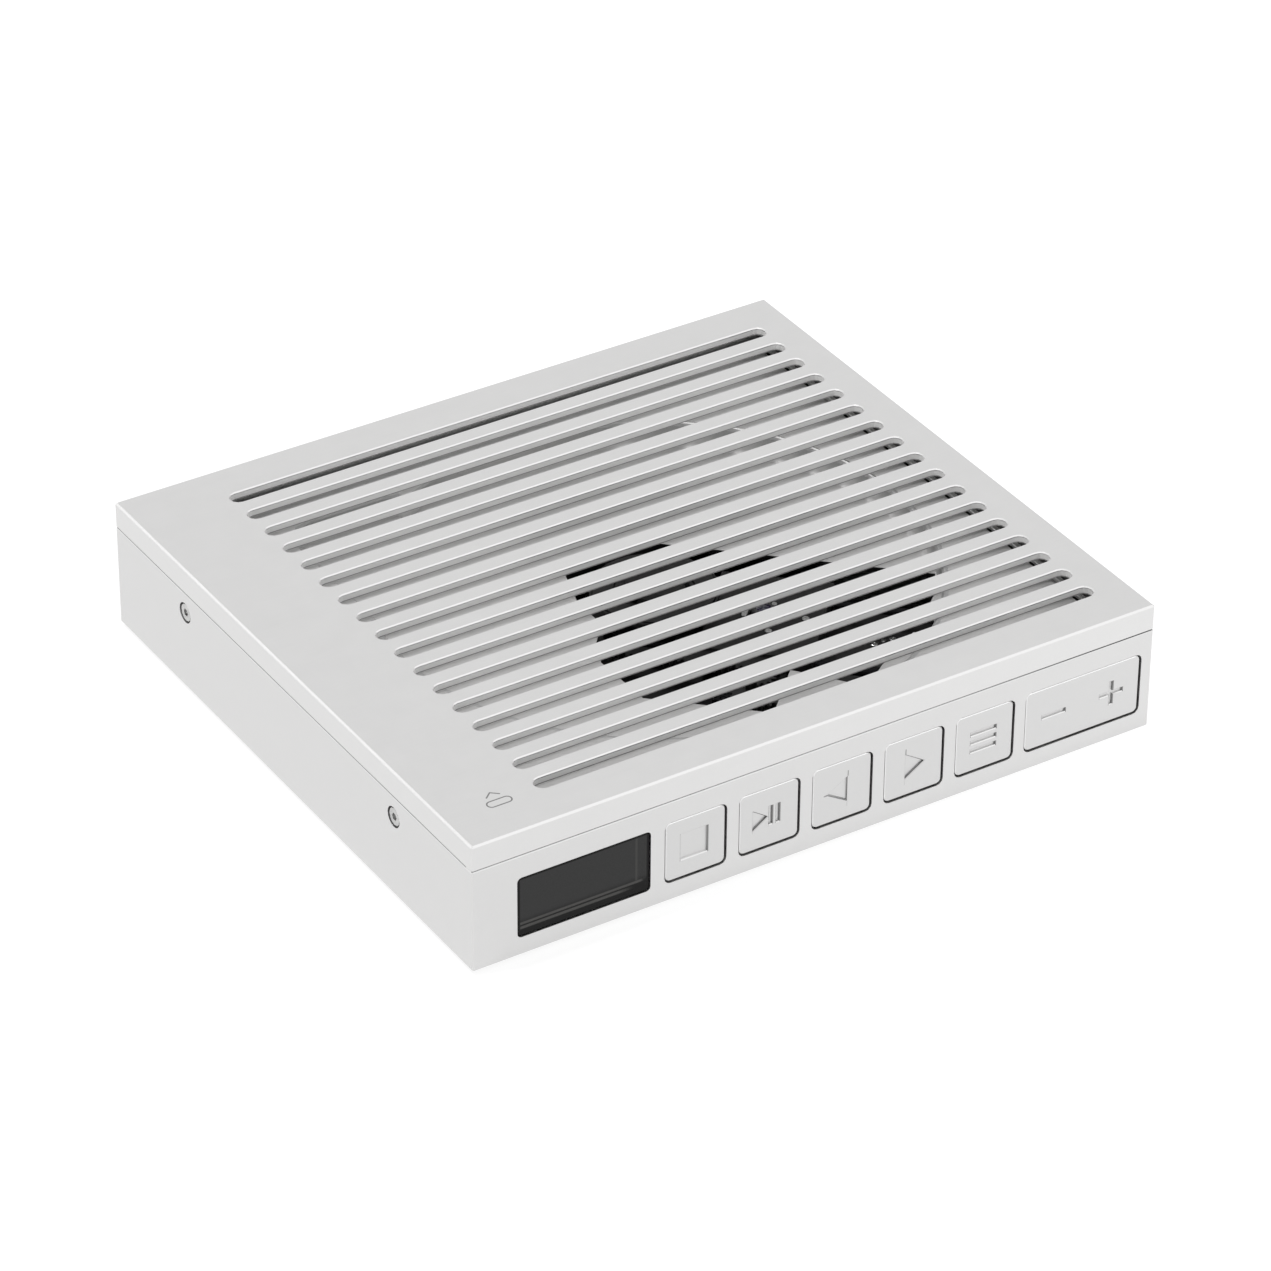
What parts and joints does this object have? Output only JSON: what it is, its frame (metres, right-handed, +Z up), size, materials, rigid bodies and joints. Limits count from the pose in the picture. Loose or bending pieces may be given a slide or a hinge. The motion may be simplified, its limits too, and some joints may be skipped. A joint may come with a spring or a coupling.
{
  "type": "portable cd player",
  "caption": "Slim milled-aluminium portable CD player with a slotted hinged lid, front push buttons, volume rocker, display window and a motor-driven pickup under the disc well.",
  "frame": {"origin": "middle of the footprint, at the underside of the feet", "axes": "+X to the right along the key row, +Y to the rear where the lid is hinged, +Z up"},
  "size_m": [0.166, 0.149, 0.0314],
  "materials": {
    "lid_metal": "satin, fine grain",
    "housing_metal": "bead blasted",
    "key_metal": "bead blasted",
    "deck_metal": "matt",
    "base_metal": "bead blasted",
    "steel": "polished",
    "screw_steel": "plated",
    "magnet_nickel": "plated",
    "pinion_brass": "turned",
    "black_plastic": "fine grain",
    "gear_plastic": "moulded",
    "rubber": "matt",
    "circuit_board": "solder mask",
    "window_glass": "polished",
    "display": "gloss",
    "battery_wrap": "film",
    "lens_glass": "polished"
  },
  "bodies": {
    "housing": {"housing_shell": "housing_metal", "base_plate": "base_metal", "deck_plate": "deck_metal", "side_screw_1": "screw_steel", "side_screw_2": "screw_steel", "side_screw_3": "screw_steel", "side_screw_4": "screw_steel", "base_screw_1": "screw_steel", "base_screw_2": "screw_steel", "base_screw_3": "screw_steel", "base_screw_4": "screw_steel", "foot_1": "rubber", "foot_2": "rubber", "foot_3": "rubber", "foot_4": "rubber", "button_carrier": "black_plastic", "key_board": "circuit_board", "display_module": "display", "display_glass": "window_glass", "main_circuit_board": "circuit_board", "battery_pack": "battery_wrap", "headphone_jack": "black_plastic", "balanced_jack": "black_plastic", "usb_socket": "steel", "mechanism_chassis": "black_plastic", "damper_1": "rubber", "damper_2": "rubber", "damper_3": "rubber", "damper_4": "rubber", "spindle_motor": "steel", "sled_motor": "steel", "main_rail": "steel", "support_rail": "steel", "hinge_pin_left": "steel", "hinge_pin_right": "steel", "deck_magnet_left": "magnet_nickel", "deck_magnet_right": "magnet_nickel"},
    "lid": {"lid": "lid_metal", "lid_magnet_left": "magnet_nickel", "lid_magnet_right": "magnet_nickel"},
    "stop_key": {"stop_button": "key_metal"},
    "play_pause_key": {"play_pause_button": "key_metal"},
    "back_key": {"back_button": "key_metal"},
    "forward_key": {"forward_button": "key_metal"},
    "menu_key": {"menu_button": "key_metal"},
    "volume_key": {"volume_rocker": "key_metal"},
    "turntable": {"turntable_hub": "black_plastic", "turntable_mat": "rubber", "clamp_ball_1": "steel", "clamp_ball_2": "steel", "clamp_ball_3": "steel"},
    "pickup": {"pickup_sled": "black_plastic"},
    "lens": {"objective_lens": "lens_glass"},
    "sled_gear": {"drive_gear": "gear_plastic"},
    "sled_pinion": {"motor_pinion": "pinion_brass"}
  },
  "joints": [
    {"name": "lid_hinge", "type": "hinge", "parent": "housing", "child": "lid", "pos_m": [0, 0.0729, 0.02892], "axis": [-1, 0, 0], "range_deg": [0, 95]},
    {"name": "stop_press", "type": "slide", "parent": "housing", "child": "stop_key", "axis": [0, 1, 0], "range_m": [0, 0.0003], "stiffness_N_per_m": 2000},
    {"name": "play_pause_press", "type": "slide", "parent": "housing", "child": "play_pause_key", "axis": [0, 1, 0], "range_m": [0, 0.0003], "stiffness_N_per_m": 2000},
    {"name": "back_press", "type": "slide", "parent": "housing", "child": "back_key", "axis": [0, 1, 0], "range_m": [0, 0.0003], "stiffness_N_per_m": 2000},
    {"name": "forward_press", "type": "slide", "parent": "housing", "child": "forward_key", "axis": [0, 1, 0], "range_m": [0, 0.0003], "stiffness_N_per_m": 2000},
    {"name": "menu_press", "type": "slide", "parent": "housing", "child": "menu_key", "axis": [0, 1, 0], "range_m": [0, 0.0003], "stiffness_N_per_m": 2000},
    {"name": "volume_tip", "type": "hinge", "parent": "housing", "child": "volume_key", "pos_m": [0.06545, -0.0704, 0.01275], "axis": [0, 0, 1], "range_deg": [-1, 1], "stiffness_Nm_per_rad": 0.8},
    {"name": "turntable_spin", "type": "hinge", "parent": "housing", "child": "turntable", "pos_m": [0.007, 0.0006, 0.0185], "axis": [0, 0, 1], "continuous": true},
    {"name": "pickup_slide", "type": "slide", "parent": "housing", "child": "pickup", "axis": [0.7314, -0.682, 0], "range_m": [0, 0.0345]},
    {"name": "lens_focus", "type": "slide", "parent": "pickup", "child": "lens", "axis": [0, 0, 1], "range_m": [-0.0004, 0.0004], "stiffness_N_per_m": 50},
    {"name": "sled_gear_spin", "type": "hinge", "parent": "housing", "child": "sled_gear", "pos_m": [0.01106, -0.03464, 0.0119], "axis": [0, 0, 1], "range_deg": [-662, 2]},
    {"name": "sled_pinion_spin", "type": "hinge", "parent": "housing", "child": "sled_pinion", "pos_m": [0.00207, -0.03416, 0.0119], "axis": [0, 0, 1], "range_deg": [-7, 2317]}
  ],
  "couplings": [
    {"joint": "sled_gear_spin", "follows": "pickup_slide", "rad_per_m": -333.33},
    {"joint": "sled_pinion_spin", "follows": "pickup_slide", "rad_per_m": 1166.7}
  ]
}
